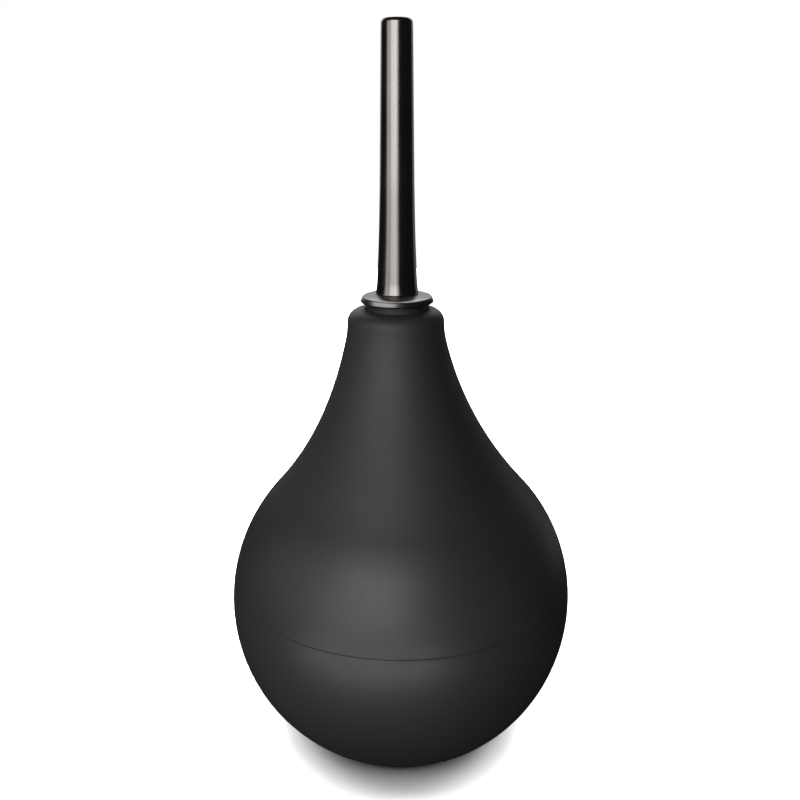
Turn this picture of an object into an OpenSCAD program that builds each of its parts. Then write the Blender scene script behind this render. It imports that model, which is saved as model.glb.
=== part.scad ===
// Hand dust blower: a soft pear-shaped bulb that stands on its base, a screw-in metal nozzle
// on its neck, and a one-way air inlet valve in its base.
// +Z is up, and the origin is the middle of the base, on the surface that the blower stands on.

/* [Bulb] */
// Largest outside diameter of the bulb
bulb_d = 80; // [79:0.5:82]
// Height of the ball's centre above the base
ball_z = 33.5; // [33:0.1:34]
// Height of the soft body, from its base to the top of its neck
body_h = 103.05; // [102.5:0.05:104.5]
// Outside diameter of the neck
neck_d = 21.5; // [21:0.1:22.4]
// Radius of the hollow sweep from the ball up to the neck
sweep_r = 79.35; // [78:0.05:80.5]
// How far the centre of that sweep lies above the top of the neck
sweep_up = 10.4; // [9.6:0.1:11.2]
// Rounding at the top edge of the neck
lip_r = 3; // [1.5:0.1:3.1]
// Thickness of the rubber wall
wall = 2.8; // [2.4:0.1:3.2]

/* [Seam] */
// Height of the moulding seam between the two shells
seam_z = 39.6; // [37:0.2:44]
// How far the lower shell's tongue laps up inside the upper shell
lap = 3; // [2:0.5:5]
// Depth of the fine groove along the seam
seam_groove = 0.3; // [0.1:0.05:0.5]

/* [Base] */
// Thickness of the flat floor
floor_t = 5; // [4.6:0.1:5.4]
// Depth of the recess under the base, which keeps the valve off the table
recess_depth = 3; // [2.6:0.1:3.2]
// Radius of that recess
recess_r = 11; // [10.6:0.1:12]
// Top of the thick rim that grips the valve
grip_top = 8; // [7.4:0.1:8.6]

/* [Neck insert] */
// Height of the threaded bush, moulded into the neck
bush_h = 13.4; // [12:0.2:14]
// Radius of the bush's barrel
bush_r = 6.2; // [6:0.1:6.3]
// Radius of its barbs and its top flange
barb_r = 7.1; // [6.8:0.1:7.3]
// Number of barbs
barb_count = 3; // [1:1:3]
// Outside diameter of the nozzle's thread
thread_d = 8; // [7.6:0.1:8]
// Radial play of the nozzle's stem in the bush and the seal
thread_play = 0.04; // [0.02:0.01:0.08]
// Thickness of the rubber seal under the nozzle's collar
seal_t = 2.8; // [2.4:0.05:3]
// Depth of the pocket that the seal lies in
seal_pocket = 1.4; // [1.2:0.1:1.4]

/* [Nozzle] */
// Height of the nozzle's tip above the collar's underside
nozzle_h = 57.9; // [45:0.05:70]
// Outside diameter just under the rounded tip
tip_d = 6.56; // [6.3:0.02:6.8]
// Growth of the tube's radius for each millimetre down
taper = 0.0132; // [0.01:0.0002:0.015]
// Height over which the tube's foot flares out
flare_h = 20; // [12:1:20]
// Radius of that flare
flare_r = 358; // [340:1:420]
// Rounding of the tip
tip_round = 1.05; // [0.3:0.05:1.3]
// Bore of the tip, where the air comes out
tip_bore_d = 3; // [2.4:0.1:3.2]
// Bore of the tube below the tip
tube_bore_d = 4; // [3.6:0.1:4]
// Length of the narrow bore at the tip
tip_bore_h = 14; // [10:1:18]
// Largest diameter of the round collar
collar_d = 16.12; // [15.4:0.02:17]
// Thickness of the collar at its rim
collar_t = 1.55; // [1.4:0.05:2.1]
// How far the collar's rim leans in from its bottom to its top
rim_lean = 0.21; // [0:0.01:0.4]
// Rise of the collar's top from its rim to the foot of the tube
collar_rise = 0.4; // [0.2:0.05:0.6]
// Length of the threaded stem under the collar
stem_h = 8; // [6.5:0.1:8]
// Length of the spigot that the tube is pressed on
spigot_h = 7.5; // [6:0.1:9]

/* [Inlet valve] */
// Diameter of the valve's barrel, where the rubber grips it
barrel_d = 15; // [14.8:0.1:15.4]
// Diameter of the flange under the base
flange_d = 20; // [19:0.2:20.6]
// Height of the flange's underside above the table
flange_z = 1.6; // [1.2:0.1:1.6]
// Height of the top of the barrel
barrel_top = 13; // [12.4:0.1:15]
// Bore of the barrel, for the screen, the disc and the cage
valve_bore_d = 12.4; // [12.2:0.1:12.6]
// Thickness of the rubber disc
disc_t = 1; // [0.8:0.1:1.2]
// How far the disc lifts off its seat
disc_lift = 1.2; // [0.8:0.1:1.5]
// Number of air holes under the disc
air_holes = 6; // [4:1:7]

/* [Hidden] */
$fn = 96;

over = 1;                              // how far a cutting shape runs past what it cuts
ball_r = bulb_d / 2;
neck_r = neck_d / 2;
sweep_z = body_h + sweep_up;
// The sweep's circle bites a hair into the ball, so that the two meet in one clean edge
sweep_bite = 0.02;
sweep_x = sqrt(pow(ball_r + sweep_r - sweep_bite, 2) - pow(sweep_z - ball_z, 2));
plug_z = body_h - 18.8;                // underside of the solid rubber in the neck
throat_r = 5;                          // air passage from the bulb to the bush

bush_top = body_h - seal_pocket;
bush_z = bush_top - bush_h;
bush_flange_t = 1.2;
barb_pitch = 3.2;
barb_h = 2.2;
thread_r = thread_d / 2;
seal_r = 6.9;
seal_pocket_r = barb_r;

collar_z = bush_top + seal_t;          // underside of the collar
collar_r = collar_d / 2;
rim_z = collar_z + collar_t;
foot_z = rim_z + collar_rise;          // the tube stands on the collar here
land_r = 5.3;                          // flat part of the collar's top, round the tube
rim_round = 0.7;                       // rounding of the rim's top edge
under_round = 0.35;                    // rounding of its bottom edge
stem_bore_r = 2;
spigot_r = 3;
tip_z = collar_z + nozzle_h;
swell_h = 2.6;                         // the tube's foot swells out over this height
swell_r = 20;
foot_round = 0.3;                      // rounding of its bottom edge

barrel_r = barrel_d / 2;
valve_r = valve_bore_d / 2;
web_z = flange_z + 2.6;                // underside of the web that carries the disc's seat
web_t = 1.2;
seat_h = 0.4;
seat_z = web_z + web_t + seat_h;
screen_t = 0.4;
grille_t = 1.6;
disc_r = valve_r - 0.6;
cage_z = seat_z + disc_t + disc_lift + 0.1;
cage_t = 1.6;
air_hole_r = 1.1;
air_ring_r = 3.2;

rubber = [0.13, 0.13, 0.14];
gunmetal = [0.42, 0.40, 0.40];
brass = [0.75, 0.60, 0.32];
black_plastic = [0.08, 0.08, 0.09];
steel = [0.62, 0.63, 0.65];
seal_black = [0.10, 0.10, 0.11];

// ---------------------------------------------------------------- outlines, for turning about Z

// Everything from the axis out, between two heights
module band(z_low, z_high) {
    translate([0, z_low]) square([ball_r + over, z_high - z_low]);
}

// A rectangle from the axis out to r
module core(r, z_low, z_high) {
    translate([0, z_low]) square([r, z_high - z_low]);
}

// Distance from the axis at which the ball and the hollow sweep meet
function touch_x(inset) = sweep_x * (ball_r - inset) / (ball_r + sweep_r);

// The pear outline, drawn inwards by the inset: ball, hollow sweep and straight neck
module pear(inset) {
    intersection() {
        union() {
            difference() {
                union() {
                    translate([0, ball_z]) circle(r = ball_r - inset);
                    core(touch_x(inset), ball_z, body_h);
                }
                translate([sweep_x, sweep_z]) circle(r = sweep_r + inset);
            }
            core(neck_r - inset, plug_z, body_h);
        }
        band(0, body_h);
    }
}

// What is taken off the neck's top edge to round it
module lip_corner() {
    difference() {
        translate([neck_r - lip_r, body_h - lip_r]) square(lip_r + over);
        translate([neck_r - lip_r, body_h - lip_r]) circle(r = lip_r);
    }
}

// The bush's outside, which the rubber is moulded round
module bush_outline() {
    core(bush_r, bush_z, bush_top);
    core(barb_r, bush_top - bush_flange_t, bush_top);
    for (i = [0 : barb_count - 1]) {
        z = bush_z + 0.8 + i * barb_pitch;
        polygon([
            [bush_r - over, z], [bush_r, z], [barb_r, z + barb_h - 0.4],
            [barb_r, z + barb_h], [bush_r - over, z + barb_h]
        ]);
    }
}

// The rubber body cut through, both shells together
module body_section() {
    difference() {
        pear(0);
        difference() {
            intersection() {
                pear(wall);
                band(floor_t, plug_z);
            }
            core(recess_r + 1.5, 0, grip_top);
        }
        lip_corner();
        core(throat_r, plug_z - over, bush_z + over);
        bush_outline();
        core(seal_pocket_r, bush_top, body_h + over);
        core(recess_r, -over, recess_depth);
        core(barrel_r, 0, grip_top + over);
        seam_cut();
    }
}

// A fine V along the seam, on the outside of the ball
module seam_cut() {
    seam_x = sqrt(pow(ball_r, 2) - pow(seam_z - ball_z, 2));
    translate([seam_x, seam_z]) rotate(45) square(seam_groove * sqrt(2), center = true);
}

// The inner half of the wall, where the lower shell's tongue stands
module tongue() {
    intersection() {
        pear(wall / 2);
        band(seam_z - over, seam_z + lap);
    }
}

// ---------------------------------------------------------------- soft body

module upper_shell() {
    color(rubber) rotate_extrude() difference() {
        intersection() {
            body_section();
            band(seam_z, body_h);
        }
        tongue();
    }
}

module lower_shell() {
    color(rubber) rotate_extrude() intersection() {
        body_section();
        union() {
            band(0, seam_z);
            tongue();
        }
    }
}

// Threaded insert; the thread is a plain bore
module neck_bush() {
    color(brass) rotate_extrude() difference() {
        bush_outline();
        core(thread_r + thread_play, bush_z - over, bush_top + over);
    }
}

// Flat ring between the bush and the collar
module neck_seal() {
    color(seal_black) rotate_extrude() difference() {
        core(seal_r, bush_top, collar_z);
        core(thread_r + thread_play, bush_top - over, collar_z + over);
    }
}

// ---------------------------------------------------------------- nozzle

// Outside radius of the tube at a height: a straight taper, a long flare and a short swell at the foot
function tube_r(z) = tip_d / 2 + taper * (tip_z - z)
    + pow(max(0, foot_z + flare_h - z), 2) / (2 * flare_r)
    + pow(max(0, foot_z + swell_h - z), 2) / (2 * swell_r);

// Turned collar with its stem below and the tube's spigot above
module nozzle_collar() {
    color(gunmetal) rotate_extrude() difference() {
        union() {
            polygon([
                [0, collar_z], [collar_r - under_round, collar_z],
                for (a = [60 : -30 : 0])
                    [collar_r - under_round * (1 - cos(a)), collar_z + under_round * (1 - sin(a))],
                for (a = [0 : 15 : 75])
                    [collar_r - rim_lean - rim_round * (1 - cos(a)), rim_z - rim_round * (1 - sin(a))],
                [collar_r - rim_lean - rim_round, rim_z], [land_r, foot_z], [0, foot_z]
            ]);
            core(thread_r, collar_z - stem_h, collar_z + 0.5);
            core(spigot_r, collar_z, foot_z + spigot_h);
        }
        core(stem_bore_r, collar_z - stem_h - over, foot_z + spigot_h + over);
    }
}

// Long tapered tube with a rounded tip, pressed on the spigot
module nozzle_tube() {
    flare_steps = 10;
    swell_steps = 4;
    tip_r = tip_d / 2;
    color(gunmetal) rotate_extrude() difference() {
        polygon([
            [0, foot_z],
            for (a = [90 : -15 : 0])
                let (z = foot_z + foot_round * (1 - sin(a)))
                [tube_r(z) - foot_round * (1 - cos(a)), z],
            for (i = [1 : swell_steps])
                let (z = foot_z + foot_round + (swell_h - foot_round) * i / swell_steps)
                [tube_r(z), z],
            for (i = [1 : flare_steps])
                let (z = foot_z + swell_h + (flare_h - swell_h) * i / flare_steps)
                [tube_r(z), z],
            for (a = [0 : 15 : 90])
                [tip_r - tip_round * (1 - cos(a)), tip_z - tip_round * (1 - sin(a))],
            [0, tip_z]
        ]);
        core(spigot_r, foot_z - over, foot_z + spigot_h);
        core(tube_bore_d / 2, foot_z, tip_z - tip_bore_h);
        core(tip_bore_d / 2, foot_z, tip_z + over);
    }
}

// ---------------------------------------------------------------- inlet valve

// Drills through a plate: a ring of round holes
module hole_ring(count, ring_r, hole_r, z_low, z_high) {
    for (i = [0 : count - 1]) rotate(i * 360 / count)
        translate([ring_r, 0, z_low]) cylinder(r = hole_r, h = z_high - z_low, $fn = 32);
}

// Barrel with a flange outside the base and a barb inside it, and a web with the disc's seat
module valve_housing() {
    color(black_plastic) difference() {
        rotate_extrude() difference() {
            union() {
                core(flange_d / 2, flange_z, recess_depth);
                core(barrel_r, flange_z, barrel_top);
                polygon([
                    [0, grip_top], [barrel_r + 1.5, grip_top], [barrel_r + 1.5, grip_top + 0.6],
                    [barrel_r, grip_top + 2.4], [0, grip_top + 2.4]
                ]);
            }
            core(valve_r, flange_z - over, web_z);
            difference() {
                core(valve_r, web_z + web_t, barrel_top + over);
                translate([air_ring_r + air_hole_r + 0.3, 0]) core(0.6, web_z, seat_z);
            }
        }
        hole_ring(air_holes, air_ring_r, air_hole_r, web_z - over, web_z + web_t + over);
    }
}

// Perforated cap in the bottom of the housing
module inlet_grille() {
    grille_z = web_z - screen_t - grille_t;
    color(black_plastic) difference() {
        translate([0, 0, grille_z]) cylinder(r = valve_r, h = grille_t);
        hole_ring(1, 0, 0.9, grille_z - over, web_z);
        hole_ring(6, 2.3, 0.9, grille_z - over, web_z);
        hole_ring(12, 4.6, 0.9, grille_z - over, web_z);
    }
}

// Fine woven screen, as a ring with a grid of bars across it
module filter_screen() {
    bar_w = 0.4;
    bar_pitch = 1.3;
    bars = floor(valve_r / bar_pitch);
    color(steel) translate([0, 0, web_z - screen_t]) linear_extrude(screen_t) {
        difference() {
            circle(r = valve_r);
            circle(r = valve_r - 0.8);
        }
        intersection() {
            circle(r = valve_r - 0.4);
            union() for (i = [-bars : bars]) {
                translate([i * bar_pitch, 0]) square([bar_w, valve_bore_d], center = true);
                translate([0, i * bar_pitch]) square([valve_bore_d, bar_w], center = true);
            }
        }
    }
}

// Spoked stop above the disc, pressed into the barrel
module valve_cage() {
    color(black_plastic) translate([0, 0, cage_z]) linear_extrude(cage_t) {
        difference() {
            circle(r = valve_r);
            circle(r = valve_r - 1.2);
        }
        circle(r = 1.6);
        for (a = [0, 120, 240]) rotate(a) translate([0, -0.7]) square([valve_r - 0.6, 1.4]);
    }
}

// Loose rubber disc that lets air in and shuts when the bulb is squeezed
module valve_disc() {
    color(seal_black) translate([0, 0, seat_z]) cylinder(r = disc_r, h = disc_t);
}

upper_shell();
lower_shell();
neck_bush();
neck_seal();
nozzle_collar();
nozzle_tube();
valve_housing();
inlet_grille();
filter_screen();
valve_cage();
valve_disc();
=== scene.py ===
"""Looks of a hand dust blower: a soft matte rubber pear bulb with a polished dark metal nozzle.

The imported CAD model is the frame. The soft shells and the turned nozzle are rebuilt here as fine
lathe meshes with rounded edges, and the other CAD nodes keep their shape and get a material.
"""
import math

import bmesh
import bpy
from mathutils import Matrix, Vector, noise


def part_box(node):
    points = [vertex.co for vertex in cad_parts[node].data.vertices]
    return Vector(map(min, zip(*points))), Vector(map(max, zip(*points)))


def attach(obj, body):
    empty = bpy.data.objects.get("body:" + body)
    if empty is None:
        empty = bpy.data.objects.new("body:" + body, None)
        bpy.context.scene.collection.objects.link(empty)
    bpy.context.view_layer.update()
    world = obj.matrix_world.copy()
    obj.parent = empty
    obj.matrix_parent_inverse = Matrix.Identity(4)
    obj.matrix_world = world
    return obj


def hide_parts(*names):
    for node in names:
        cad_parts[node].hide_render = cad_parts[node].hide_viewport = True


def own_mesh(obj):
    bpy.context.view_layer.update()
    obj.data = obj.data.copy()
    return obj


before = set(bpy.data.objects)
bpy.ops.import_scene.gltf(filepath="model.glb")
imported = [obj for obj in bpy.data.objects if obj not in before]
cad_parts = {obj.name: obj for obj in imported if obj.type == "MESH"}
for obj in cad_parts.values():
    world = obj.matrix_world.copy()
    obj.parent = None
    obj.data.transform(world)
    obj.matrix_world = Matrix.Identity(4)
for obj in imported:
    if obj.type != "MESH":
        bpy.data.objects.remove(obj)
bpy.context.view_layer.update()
MM = 0.001

# ------------------------------------------------------------------ sizes, from the frame
seam_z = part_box("upper_shell")[0].z
neck_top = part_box("upper_shell")[1].z
ball_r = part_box("lower_shell")[1].x
bush_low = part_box("neck_bush")[0].z
pocket_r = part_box("neck_bush")[1].x
collar_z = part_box("neck_seal")[1].z
collar_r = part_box("nozzle_collar")[1].x
stem_low, spigot_top = (corner.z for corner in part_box("nozzle_collar"))
foot_z, tip_z = (corner.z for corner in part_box("nozzle_tube"))

# sizes that no box gives, the same as in the CAD source
ball_z = 33.5 * MM
neck_r = 10.75 * MM
lip_r = 3 * MM
sweep_r = 79.35 * MM
sweep_z = neck_top + 10.4 * MM
wall = 2.8 * MM
seam_lap = 3 * MM
floor_t = 5 * MM
recess_r = 11 * MM
recess_z = 3 * MM
grip_top = 8 * MM
grip_r = 12.5 * MM
barrel_r = 7.5 * MM
plug_z = neck_top - 18.8 * MM
throat_r = 5 * MM
thread_r = 4 * MM
stem_bore_r = 2 * MM
spigot_r = 3 * MM
tip_r = 3.28 * MM
tip_bore_r = 1.5 * MM
tip_bore_h = 14 * MM
tube_bore_r = 2 * MM
tube_taper = 0.0132
flare_h = 20 * MM
flare_r = 358 * MM
swell_h = 2.6 * MM
swell_r = 20 * MM
rim_t = 1.55 * MM
rim_lean = 0.21 * MM

# sizes that follow from these
inner_ball = ball_r - wall
inner_sweep = sweep_r + wall
tongue_top = seam_z + seam_lap
mid_r = math.sqrt((ball_r - wall / 2) ** 2 - (seam_z - ball_z) ** 2)

# moulded edges, which the CAD shells don't have
seam_round = 0.2 * MM
seam_reach = 0.6 * MM  # from the seam to where its rounded edge has run into the ball
pocket_round = 0.25 * MM
grip_round = 0.8 * MM
recess_round = 0.6 * MM

SEGMENTS = 256


# ------------------------------------------------------------------ mesh helpers
def arc(centre, radius, start, end, steps):
    """Points (r, z) on a circle from one angle to another, in degrees, both ends included."""
    angles = [math.radians(start + (end - start) * i / steps) for i in range(steps + 1)]
    return [(centre[0] + radius * math.cos(a), centre[1] + radius * math.sin(a)) for a in angles]


def line(start, end, steps):
    """Points from start up to, but not including, end."""
    return [tuple(s + (e - s) * i / steps for s, e in zip(start, end)) for i in range(steps)]


def lathe(name, outline, reshape=None, sharp=40):
    """A closed outline of (r, z) turned about Z. reshape(ring, point) may move a point of the mesh."""
    bm = bmesh.new()
    rings = []
    for index, (r, z) in enumerate(outline):
        ring = []
        for k in range(SEGMENTS):
            turn = 2 * math.pi * k / SEGMENTS
            point = Vector((r * math.cos(turn), r * math.sin(turn), z))
            ring.append(bm.verts.new(reshape(index, point) if reshape else point))
        rings.append(ring)
    for here, there in zip(rings, rings[1:] + rings[:1]):
        for k in range(SEGMENTS):
            after = (k + 1) % SEGMENTS
            bm.faces.new((here[k], here[after], there[after], there[k]))
    bmesh.ops.recalc_face_normals(bm, faces=bm.faces)
    mesh = bpy.data.meshes.new(name)
    bm.to_mesh(mesh)
    bm.free()
    mesh.polygons.foreach_set("use_smooth", [True] * len(mesh.polygons))
    mesh.set_sharp_from_angle(angle=math.radians(sharp))
    piece = bpy.data.objects.new(name, mesh)
    bpy.context.scene.collection.objects.link(piece)
    return piece


def stand_for(piece, body, material, slot, *nodes):
    """The piece rides on a body, shows a material and replaces CAD nodes."""
    piece.data.materials.append(material)
    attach(piece, body)
    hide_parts(*nodes)


# ------------------------------------------------------------------ material helpers
class Nodes:
    """A new material's node tree, with short calls to add and join nodes."""

    def __init__(self, name):
        self.material = bpy.data.materials.new(name)
        self.material.use_nodes = True
        self.tree = self.material.node_tree
        self.shader = self.tree.nodes["Principled BSDF"]

    def add(self, kind, **settings):
        node = self.tree.nodes.new(kind)
        for key, value in settings.items():
            setattr(node, key, value)
        return node

    def join(self, source, target):
        self.tree.links.new(source, target)

    def place(self, scale=(1, 1, 1)):
        """Object coordinates in metres, stretched by a scale."""
        coordinates = self.add("ShaderNodeTexCoord")
        mapping = self.add("ShaderNodeMapping")
        mapping.inputs["Scale"].default_value = scale
        self.join(coordinates.outputs["Object"], mapping.inputs["Vector"])
        return mapping.outputs["Vector"]

    def height(self):
        """Height above the floor in metres."""
        parts = self.add("ShaderNodeSeparateXYZ")
        self.join(self.place(), parts.inputs["Vector"])
        return parts.outputs["Z"]

    def calc(self, operation, first, second):
        """A sum on two values; the second may be a plain number."""
        node = self.add("ShaderNodeMath", operation=operation)
        self.join(first, node.inputs[0])
        if isinstance(second, float):
            node.inputs[1].default_value = second
        else:
            self.join(second, node.inputs[1])
        return node.outputs[0]

    def noise(self, vector, scale, detail=3, roughness=0.5):
        texture = self.add("ShaderNodeTexNoise")
        texture.inputs["Scale"].default_value = scale
        texture.inputs["Detail"].default_value = detail
        texture.inputs["Roughness"].default_value = roughness
        self.join(vector, texture.inputs["Vector"])
        return texture.outputs["Fac"]

    def spread(self, source, low, high, out_low=0.0, out_high=1.0):
        """Maps low..high of a value onto out_low..out_high, and holds it there outside."""
        node = self.add("ShaderNodeMapRange")
        node.inputs["From Min"].default_value = low
        node.inputs["From Max"].default_value = high
        node.inputs["To Min"].default_value = out_low
        node.inputs["To Max"].default_value = out_high
        self.join(source, node.inputs["Value"])
        return node.outputs["Result"]

    def blend(self, factor, colour_a, colour_b):
        """Mixes two colours, each a tuple or a socket."""
        node = self.add("ShaderNodeMix", data_type="RGBA")
        for socket, colour in zip((node.inputs[6], node.inputs[7]), (colour_a, colour_b)):
            if isinstance(colour, tuple):
                socket.default_value = (*colour, 1)
            else:
                self.join(colour, socket)
        self.join(factor, node.inputs["Factor"])
        return node.outputs[2]

    def bump(self, height, distance, strength, under=None):
        """Relief from a value; under is a coarser relief that it lies on."""
        node = self.add("ShaderNodeBump")
        node.inputs["Distance"].default_value = distance
        node.inputs["Strength"].default_value = strength
        self.join(height, node.inputs["Height"])
        if under:
            self.join(under, node.inputs["Normal"])
        return node.outputs["Normal"]

    def feed(self, source, socket):
        self.join(source, self.shader.inputs[socket])

    def fix(self, socket, value):
        self.shader.inputs[socket].default_value = value


# ------------------------------------------------------------------ materials
def bulb_rubber():
    """Matte moulded rubber: charcoal black, faintly cloudy and smoother on the belly; the belly's paler
    tone is painted light.
    """
    m = Nodes("bulb_rubber")
    place = m.place()
    clouds = m.noise(place, 55, detail=4, roughness=0.6)
    # belly masks the lower ball: there it lightens the colour as painted light, and it lowers the roughness
    belly = m.spread(m.height(), 70 * MM, 54 * MM)
    cloudy = m.spread(clouds, 0.35, 0.65)
    neck_tone = m.blend(cloudy, (0.0172, 0.0182, 0.0207), (0.0212, 0.0223, 0.0250))
    # a paler copy of the rubber's tone for the belly: painted light
    belly_painted_light_tone = m.blend(cloudy, (0.0228, 0.0240, 0.0267), (0.0268, 0.0281, 0.0309))
    m.feed(m.blend(belly, neck_tone, belly_painted_light_tone), "Base Color")
    smoother = m.calc("MULTIPLY", belly, 0.16)
    m.feed(m.calc("SUBTRACT", m.spread(clouds, 0.3, 0.7, 0.63, 0.57), smoother), "Roughness")
    grain = m.noise(place, 2600, detail=2, roughness=0.6)
    swell = m.noise(place, 160, detail=2)
    soft = m.bump(swell, 0.03 * MM, 0.5)
    m.feed(m.bump(grain, 0.02 * MM, 0.6, under=soft), "Normal")
    return m.material


def nozzle_metal():
    """Polished dark nickel with a satin collar, and the faint rings that turning and buffing leave."""
    m = Nodes("nozzle_metal")
    smudge = m.noise(m.place(), 120, detail=4, roughness=0.6)
    rings = m.noise(m.place((1, 1, 60)), 150, detail=3, roughness=0.6)
    m.feed(m.blend(m.spread(smudge, 0.3, 0.7), (0.196, 0.186, 0.178), (0.225, 0.214, 0.205)), "Base Color")
    satin = m.spread(m.height(), foot_z + 0.3 * MM, foot_z - 0.1 * MM, 0, 0.13)
    m.feed(m.calc("ADD", m.spread(smudge, 0.3, 0.75, 0.16, 0.22), satin), "Roughness")
    m.feed(m.bump(rings, 0.002 * MM, 0.5), "Normal")
    m.fix("Metallic", 1.0)
    return m.material


def bush_brass():
    """Turned brass, a little dulled."""
    m = Nodes("bush_brass")
    smudge = m.noise(m.place(), 200, detail=4)
    rings = m.noise(m.place((1, 1, 60)), 200, detail=3)
    m.feed(m.blend(m.spread(smudge, 0.3, 0.7), (0.62, 0.45, 0.21), (0.76, 0.58, 0.30)), "Base Color")
    m.feed(m.spread(smudge, 0.3, 0.7, 0.22, 0.36), "Roughness")
    m.feed(m.bump(rings, 0.006 * MM, 0.6), "Normal")
    m.fix("Metallic", 1.0)
    return m.material


def seal_rubber():
    """Plain black sealing rubber."""
    m = Nodes("seal_rubber")
    place = m.place()
    clouds = m.noise(place, 300, detail=3)
    m.feed(m.blend(clouds, (0.018, 0.018, 0.019), (0.032, 0.032, 0.033)), "Base Color")
    m.feed(m.spread(clouds, 0.3, 0.7, 0.5, 0.65), "Roughness")
    m.feed(m.bump(m.noise(place, 3000), 0.01 * MM, 0.5), "Normal")
    return m.material


def valve_plastic():
    """Black moulded plastic with a fine satin texture."""
    m = Nodes("valve_plastic")
    place = m.place()
    clouds = m.noise(place, 150, detail=3)
    m.feed(m.blend(clouds, (0.022, 0.022, 0.024), (0.034, 0.034, 0.036)), "Base Color")
    m.feed(m.spread(clouds, 0.3, 0.7, 0.32, 0.44), "Roughness")
    m.feed(m.bump(m.noise(place, 4000, detail=1), 0.012 * MM, 0.6), "Normal")
    return m.material


def screen_steel():
    """Bright woven wire."""
    m = Nodes("screen_steel")
    clouds = m.noise(m.place(), 900, detail=3)
    m.feed(m.blend(clouds, (0.5, 0.5, 0.51), (0.66, 0.66, 0.67)), "Base Color")
    m.feed(m.spread(clouds, 0.3, 0.7, 0.25, 0.4), "Roughness")
    m.feed(m.bump(clouds, 0.02 * MM, 0.5), "Normal")
    m.fix("Metallic", 1.0)
    return m.material


# ------------------------------------------------------------------ soft bulb
belly_shift = 0.85 * MM
neck_shift = -0.3 * MM
shift_from = 58 * MM
shift_rise = 42 * MM
uneven = 0.1 * MM
waves_per_metre = 28


def soft_shape(point):
    """How a moulded bulb really sits: the neck a hair to one side, and the wall not quite round."""
    rise = min(1.0, max(0.0, (point.z - shift_from) / shift_rise))
    ease = rise * rise * (3 - 2 * rise)
    shift = belly_shift + (neck_shift - belly_shift) * ease
    swell = noise.noise(point * waves_per_metre) * uneven
    outward = Vector((point.x, point.y, 0)).normalized()
    return point + outward * swell + Vector((shift, 0, 0))


def ball_angle(radius, height):
    """Angle in degrees at which a circle about the ball's centre reaches a height."""
    return math.degrees(math.asin((height - ball_z) / radius))


def seam_edge(side):
    """The rounded edge of a shell where it meets the seam; side is 1 above it and -1 below it."""
    reach = math.sqrt(ball_r ** 2 - (seam_z - ball_z) ** 2)
    centre = (reach - seam_round, seam_z + side * seam_round)
    return arc(centre, seam_round, -90 * side, -10 * side, 5)


def upper_outline():
    """The upper shell cut through: outside from the seam to the lip, then the inside down to the seam."""
    sweep_x = math.sqrt((ball_r + sweep_r) ** 2 - (sweep_z - ball_z) ** 2)
    touch = math.degrees(math.atan2(sweep_z - ball_z, sweep_x))
    blend_r = 17 * MM
    turn = 180 + math.degrees(math.acos((sweep_x - neck_r - blend_r) / (sweep_r - blend_r)))
    blend_z = sweep_z + (sweep_r - blend_r) * math.sin(math.radians(turn))
    ceiling = 180 + math.degrees(math.asin((sweep_z - plug_z) / inner_sweep))
    outside = (
        seam_edge(1)
        + arc((0, ball_z), ball_r, ball_angle(ball_r, seam_z + seam_reach), touch, 36)
        + arc((sweep_x, sweep_z), sweep_r, 180 + touch, turn, 44)[1:]
        + arc((neck_r + blend_r, blend_z), blend_r, turn, 180, 10)[1:]
        + arc((neck_r - lip_r, neck_top - lip_r), lip_r, 0, 90, 16)
    )
    inside = (
        arc((pocket_r + pocket_round, neck_top - pocket_round), pocket_round, 90, 180, 4)
        + line((pocket_r, neck_top - 1.2 * pocket_round), (pocket_r, bush_low), 8)
        + [(pocket_r, bush_low), (throat_r, bush_low), (throat_r, plug_z)]
        + arc((sweep_x, sweep_z), inner_sweep, ceiling, 180 + touch, 20)
        + arc((0, ball_z), inner_ball, touch, ball_angle(inner_ball, tongue_top), 16)[1:]
        + [(mid_r, tongue_top), (mid_r, seam_z)]
    )
    return outside, inside


def lower_outline():
    """The lower shell cut through: outside from the base to the seam, then the inside down to the base."""
    foot_r = 8 * MM
    foot_x = math.sqrt((ball_r - foot_r) ** 2 - (ball_z - foot_r) ** 2)
    foot_angle = -math.degrees(math.atan2(ball_z - foot_r, foot_x))
    tongue_angle = ball_angle(inner_ball, tongue_top)
    floor_angle = ball_angle(inner_ball, floor_t)
    outside = (
        arc((foot_x, foot_r), foot_r, -90, foot_angle, 10)
        + arc((0, ball_z), ball_r, foot_angle, ball_angle(ball_r, seam_z - seam_reach), 64)[1:]
        + seam_edge(-1)[::-1]
    )
    inside = (
        [(mid_r, seam_z), (mid_r, tongue_top)]
        + arc((0, ball_z), inner_ball, tongue_angle, floor_angle, 40)
        + [(grip_r, floor_t)]
        + arc((grip_r - grip_round, grip_top - grip_round), grip_round, 0, 90, 5)
        + [(barrel_r, grip_top), (barrel_r, recess_z), (recess_r, recess_z)]
        + arc((recess_r + recess_round, recess_round), recess_round, 180, 270, 5)
    )
    return outside, inside


def shell(name, outlines, material, node):
    """A soft shell that stands for one CAD node."""
    outside, inside = outlines

    def reshape(ring, point):
        return soft_shape(point) if ring < len(outside) else point

    piece = lathe(name, outside + inside, reshape)
    stand_for(piece, "bulb", material, "bulb_rubber", node)
    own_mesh(piece)
    return piece


# ------------------------------------------------------------------ nozzle
def tube_r(z):
    """The tube's outside radius: a straight taper, a long flare and a short swell at the foot."""
    flare = max(0.0, foot_z + flare_h - z)
    swell = max(0.0, foot_z + swell_h - z)
    return tip_r + tube_taper * (tip_z - z) + flare ** 2 / (2 * flare_r) + swell ** 2 / (2 * swell_r)


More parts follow.
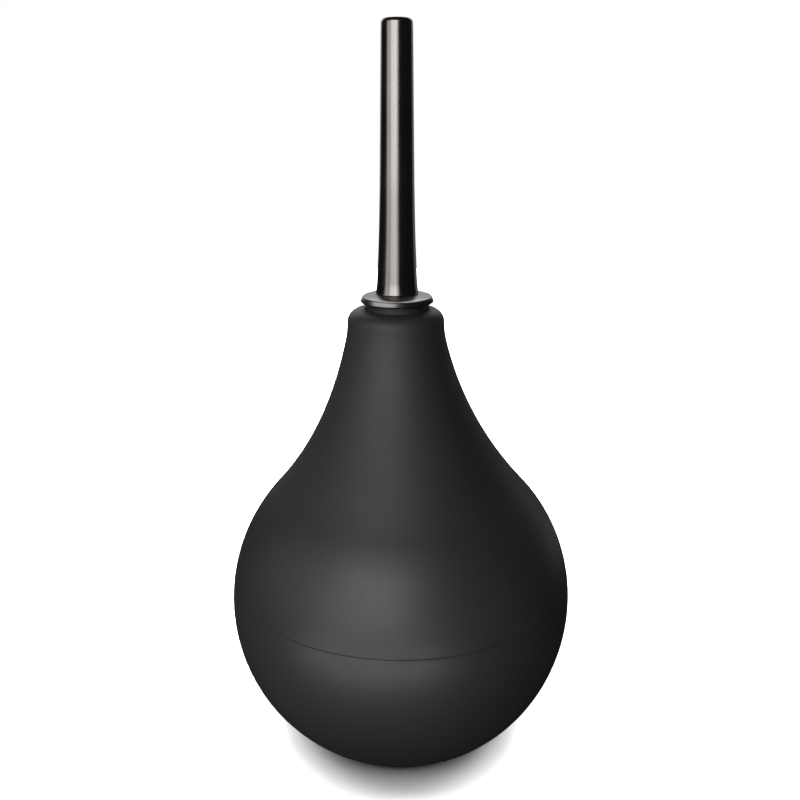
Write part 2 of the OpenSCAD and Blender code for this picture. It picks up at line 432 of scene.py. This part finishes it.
def tube_outline():
    """The tube cut through: outside from foot to tip, then down its stepped bore."""
    foot_round, tip_round, bore_round = 0.3 * MM, 1.05 * MM, 0.25 * MM
    foot = []
    for step in range(9):
        a = math.radians(90 - 10 * step)
        z = foot_z + foot_round * (1 - math.sin(a))
        foot.append((tube_r(z) - foot_round * (1 - math.cos(a)), z))
    low, high = foot_z + foot_round, tip_z - tip_round
    steps, crowding = 80, 1.6
    heights = [low + (high - low) * (i / steps) ** crowding for i in range(steps)]
    side = [(tube_r(z), z) for z in heights]
    return (
        foot
        + side
        + arc((tip_r - tip_round, high), tip_round, 0, 90, 10)
        + arc((tip_bore_r + bore_round, tip_z - bore_round), bore_round, 90, 180, 5)
        + [(tip_bore_r, tip_z - tip_bore_h), (tube_bore_r, tip_z - tip_bore_h)]
        + [(tube_bore_r, spigot_top), (spigot_r, spigot_top), (spigot_r, foot_z)]
    )


def collar_outline():
    """The collar with its stem below and its spigot above, and how many of its rings carry the thread."""
    rim_z = collar_z + rim_t
    under_round, top_round = 0.35 * MM, 0.7 * MM
    rim_r = collar_r - rim_lean
    land_r, land_rise = 5.3 * MM, foot_z - rim_z
    slope = math.degrees(math.atan2(land_rise, rim_r - land_r))
    chamfer = 0.5 * MM
    steps = 72
    thread_top = collar_z - 0.4 * MM
    stem = [(thread_r - chamfer, stem_low)] + [
        (thread_r, stem_low + chamfer + (thread_top - stem_low - chamfer) * i / steps)
        for i in range(steps + 1)
    ]
    body = (
        [(thread_r, collar_z)]
        + arc((collar_r - under_round, collar_z + under_round), under_round, -90, 0, 6)
        + arc((rim_r - top_round, rim_z - top_round), top_round, 0, 90 - slope, 8)
        + [(land_r, foot_z), (spigot_r, foot_z), (spigot_r, spigot_top)]
        + [(stem_bore_r, spigot_top), (stem_bore_r, stem_low)]
    )
    return stem + body, steps + 2


def thread_cut(point):
    """Cuts a right-hand V thread, which runs out below the collar, into a point of the stem's side."""
    pitch, depth, runout = 1 * MM, 0.5 * MM, 0.8 * MM
    turns = math.atan2(point.y, point.x) / (2 * math.pi)
    phase = (point.z / pitch - turns) % 1
    fade = min(1.0, max(0.0, (collar_z - runout - point.z) / runout))
    cut = depth * (1 - abs(2 * phase - 1)) * fade
    radius = math.hypot(point.x, point.y)
    return Vector((point.x * (1 - cut / radius), point.y * (1 - cut / radius), point.z))


def nozzle(material):
    """The turned tube and the turned collar with its threaded stem."""
    outline, threaded = collar_outline()

    def reshape(ring, point):
        return thread_cut(point) if 0 < ring < threaded else point

    collar = lathe("nozzle_collar_turned", outline, reshape, sharp=50)
    stand_for(collar, "nozzle", material, "nozzle_metal", "nozzle_collar")
    tube = lathe("nozzle_tube_turned", tube_outline())
    stand_for(tube, "nozzle", material, "nozzle_metal", "nozzle_tube")
    return tube, collar


# ------------------------------------------------------------------ camera, lights and floor
def camera():
    """In front of the blower and a little above, looking down at it."""
    look_down = 17.3
    data = bpy.data.cameras.new("camera")
    data.sensor_width = 36
    data.lens = 41
    data.clip_start = 0.01
    piece = bpy.data.objects.new("camera", data)
    piece.location = (0.62 * MM, -197.74 * MM, 143.44 * MM)
    piece.rotation_euler = (math.radians(90 - look_down), 0, 0)
    bpy.context.scene.collection.objects.link(piece)
    bpy.context.scene.camera = piece


def only_on(light, *pieces):
    """The light shines on these pieces alone."""
    lit = bpy.data.collections.new(light.name + "_lit")
    for piece in pieces:
        lit.objects.link(piece)
    light.light_linking.receiver_collection = lit


def panel(name, azimuth, elevation, distance, size, power, centre=(0, 0, 0.08)):
    """A soft rectangular light that faces the centre. Azimuth 0 is the front, 90 the right, 180 behind."""
    data = bpy.data.lights.new(name, "AREA")
    data.shape = "RECTANGLE"
    data.size, data.size_y = size
    data.energy = power
    light = bpy.data.objects.new(name, data)
    a, e = math.radians(azimuth), math.radians(elevation)
    aim = Vector((math.sin(a) * math.cos(e), -math.cos(a) * math.cos(e), math.sin(e)))
    light.location = Vector(centre) + aim * distance
    light.rotation_euler = aim.to_track_quat("Z", "Y").to_euler()
    light.visible_camera = False
    bpy.context.scene.collection.objects.link(light)
    return light


def pale_floor():
    """A pale sheet that takes the shadow. It neither lights the object nor shows in its reflections."""
    half = 0.7
    corners = [(-half, -half, 0), (half, -half, 0), (half, half, 0), (-half, half, 0)]
    mesh = bpy.data.meshes.new("floor")
    mesh.from_pydata(corners, [], [(0, 1, 2, 3)])
    floor = bpy.data.objects.new("floor", mesh)
    m = Nodes("floor_paper")
    m.fix("Base Color", (0.9, 0.9, 0.9, 1))
    m.fix("Roughness", 0.9)
    mesh.materials.append(m.material)
    floor.visible_diffuse = False
    floor.visible_glossy = False
    bpy.context.scene.collection.objects.link(floor)
    return floor


def white_world():
    """The camera sees plain white; the object is lit by a dim grey."""
    world = bpy.data.worlds.new("world")
    world.use_nodes = True
    bpy.context.scene.world = world
    tree = world.node_tree
    tree.nodes.clear()
    seen, fill = tree.nodes.new("ShaderNodeBackground"), tree.nodes.new("ShaderNodeBackground")
    seen.inputs["Color"].default_value = (1, 1, 1, 1)
    fill.inputs["Color"].default_value = (0.02, 0.02, 0.021, 1)
    path, mix = tree.nodes.new("ShaderNodeLightPath"), tree.nodes.new("ShaderNodeMixShader")
    out = tree.nodes.new("ShaderNodeOutputWorld")
    tree.links.new(path.outputs["Is Camera Ray"], mix.inputs["Fac"])
    tree.links.new(fill.outputs["Background"], mix.inputs[1])
    tree.links.new(seen.outputs["Background"], mix.inputs[2])
    tree.links.new(mix.outputs["Shader"], out.inputs["Surface"])


def bounce(name, azimuth, near, far, width, power):
    """A card lying on the floor that throws light up at the object."""
    light = panel(name, azimuth, 0, (near + far) / 2, (width, far - near), power, centre=(0, 0, 2 * MM))
    light.rotation_euler = (math.pi, 0, math.radians(azimuth))
    return light


def studio(skins, tube, collar):
    """Soft panels round the object, each linked to the pieces that it lights."""
    all_but_collar = [o for o in bpy.context.scene.objects if o.type == "MESH" and o != collar]
    white_world()
    floor = pale_floor()
    # each row: name, azimuth, elevation, distance in metres, width and height, watts
    for row in (
        ("key_wide", -32, 22, 0.8, (1.4, 0.75), 2.7),
        ("key_core", -22, 22, 0.7, (0.5, 0.62), 2.25),
        ("key_right", 0, 22, 0.7, (0.25, 0.62), 0.4),
        ("rim", 135, 0, 0.8, (0.35, 0.5), 0.16),
    ):
        only_on(panel(*row), *all_but_collar)
    only_on(bounce("bounce_near", -15, 0.10, 0.18, 0.2, 0.18), *all_but_collar)
    only_on(panel("left", -90, 12, 0.8, (0.45, 0.5), 0.26), *skins)
    only_on(panel("backdrop", 185, 28, 0.8, (1.0, 0.6), 3.4), *skins)
    only_on(panel("backdrop_metal", 185, 22, 0.8, (1.4, 0.7), 1.9), tube, collar)
    only_on(bounce("bounce_far", -45, 0.3, 0.75, 0.8, 1.2), tube)
    only_on(panel("tube_left", -56, 6, 0.8, (0.35, 0.8), 0.6), tube)
    # the collar has lights of its own: overhead for the ring along its top, and front left for its rim
    only_on(panel("collar_top", 180, 68, 0.8, (1.2, 1.1), 9), collar)
    only_on(panel("collar_rim", -44, 18, 0.8, (1.3, 0.6), 5), collar)
    # three wide, shallow sheets overhead for the floor: its shadow fades fast at the sides, slowly in front
    for elevation, width, depth, power in ((90, 5, 3, 91), (86, 3, 1, 82), (85, 1.4, 0.4, 26)):
        only_on(panel(f"floor_light_{width:g}", 180, elevation, 1.2, (width, depth), power), floor)
    bpy.context.scene.view_settings.view_transform = "Standard"


# ------------------------------------------------------------------ the blower
camera()
rubber = bulb_rubber()
metal = nozzle_metal()
lower = shell("lower_shell_skin", lower_outline(), rubber, "lower_shell")
upper = shell("upper_shell_skin", upper_outline(), rubber, "upper_shell")
tube, collar = nozzle(metal)
brass, seal, plastic, steel = bush_brass(), seal_rubber(), valve_plastic(), screen_steel()
for node, material in (
    ("neck_bush", brass),
    ("neck_seal", seal),
    ("valve_disc", seal),
    ("valve_housing", plastic),
    ("inlet_grille", plastic),
    ("valve_cage", plastic),
    ("filter_screen", steel),
):
    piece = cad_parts[node]
    piece.data.materials.clear()
    piece.data.materials.append(material)

studio((upper, lower), tube, collar)
